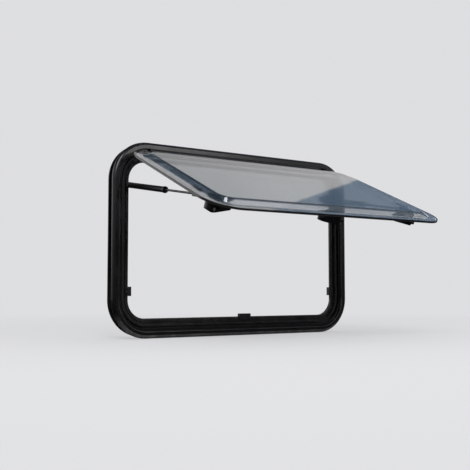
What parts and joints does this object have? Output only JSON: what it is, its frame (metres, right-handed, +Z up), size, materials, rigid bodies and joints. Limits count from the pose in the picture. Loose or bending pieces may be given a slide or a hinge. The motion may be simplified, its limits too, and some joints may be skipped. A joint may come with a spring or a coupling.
{
  "type": "caravan window",
  "caption": "Top-hung caravan window with a rounded black clamp frame, a tinted double-skinned flap on telescopic stays, and turn latches with catches.",
  "frame": {"origin": "centre of the window on the outer face of the wall, on the back of the flange", "axes": "+X to the right seen from outside, +Y into the wall, +Z up"},
  "size_m": [0.794, 0.4733, 0.509],
  "materials": {
    "black_frame": "satin black moulding",
    "seal_rubber": "matt black rubber",
    "tinted_acrylic": "clear gloss, grey-blue tint",
    "inner_acrylic": "clear gloss, light grey tint",
    "pane_bond": "milky grey sealing strip",
    "hinge_strip": "satin black extrusion",
    "black_fitting": "fine-grained black moulding",
    "latch_black": "grained black moulding",
    "black_tube": "semi-gloss black",
    "grey_rod": "dull grey steel"
  },
  "bodies": {
    "frame": {"outer_frame": "black_frame", "inner_frame": "black_frame", "frame_seal": "seal_rubber", "hinge_rail": "black_frame", "catch_left": "black_fitting", "catch_right": "black_fitting", "catch_bottom": "black_fitting", "stay_frame_bracket_left": "black_fitting", "stay_frame_bracket_right": "black_fitting"},
    "flap": {"outer_pane": "tinted_acrylic", "inner_pane": "inner_acrylic", "pane_gasket": "pane_bond", "hinge_bead": "hinge_strip", "flap_stay_bracket_left": "black_fitting", "flap_stay_bracket_right": "black_fitting", "latch_base_left": "black_fitting", "latch_base_right": "black_fitting", "latch_base_bottom": "black_fitting"},
    "stay_tube_left": {"stay_tube_left": "black_tube", "stay_collar_left": "black_fitting"},
    "stay_rod_left": {"stay_rod_left": "grey_rod", "stay_rod_end_left": "black_fitting"},
    "stay_tube_right": {"stay_tube_right": "black_tube", "stay_collar_right": "black_fitting"},
    "stay_rod_right": {"stay_rod_right": "grey_rod", "stay_rod_end_right": "black_fitting"},
    "latch_left": {"latch_handle_left": "latch_black"},
    "latch_right": {"latch_handle_right": "latch_black"},
    "latch_bottom": {"latch_handle_bottom": "latch_black"}
  },
  "joints": [
    {"name": "flap_hinge", "type": "hinge", "parent": "frame", "child": "flap", "pos_m": [0, -0.009, 0.231], "axis": [-1, 0, 0], "range_deg": [-66.25, 0]},
    {"name": "stay_swing_left", "type": "hinge", "parent": "frame", "child": "stay_tube_left", "pos_m": [-0.332, 0.032, 0.1445], "axis": [-1, 0, 0], "range_deg": [-73.88, 0]},
    {"name": "stay_slide_left", "type": "slide", "parent": "stay_tube_left", "child": "stay_rod_left", "axis": [0, -0.9864, -0.1642], "range_m": [-0.09792, 0]},
    {"name": "stay_swing_right", "type": "hinge", "parent": "frame", "child": "stay_tube_right", "pos_m": [0.332, 0.032, 0.1445], "axis": [-1, 0, 0], "range_deg": [-73.88, 0]},
    {"name": "stay_slide_right", "type": "slide", "parent": "stay_tube_right", "child": "stay_rod_right", "axis": [0, -0.9864, -0.1642], "range_m": [-0.09792, 0]},
    {"name": "latch_turn_left", "type": "hinge", "parent": "flap", "child": "latch_left", "pos_m": [-0.3145, -0.34105, 0.08184], "axis": [0, -0.4027, 0.9153], "range_deg": [-90, 0]},
    {"name": "latch_turn_right", "type": "hinge", "parent": "flap", "child": "latch_right", "pos_m": [0.3145, -0.34105, 0.08184], "axis": [0, 0.4027, -0.9153], "range_deg": [-90, 0]},
    {"name": "latch_turn_bottom", "type": "hinge", "parent": "flap", "child": "latch_bottom", "pos_m": [0.024, -0.37674, 0.06613], "axis": [0, -0.4027, 0.9153], "range_deg": [-90, 0]}
  ],
  "couplings": [
    {"joint": "stay_swing_left", "follows": "flap_hinge", "ratio": 1.1149},
    {"joint": "stay_slide_left", "follows": "flap_hinge", "m_per_rad": 0.084645},
    {"joint": "stay_swing_right", "follows": "flap_hinge", "ratio": 1.1149},
    {"joint": "stay_slide_right", "follows": "flap_hinge", "m_per_rad": 0.084645}
  ]
}
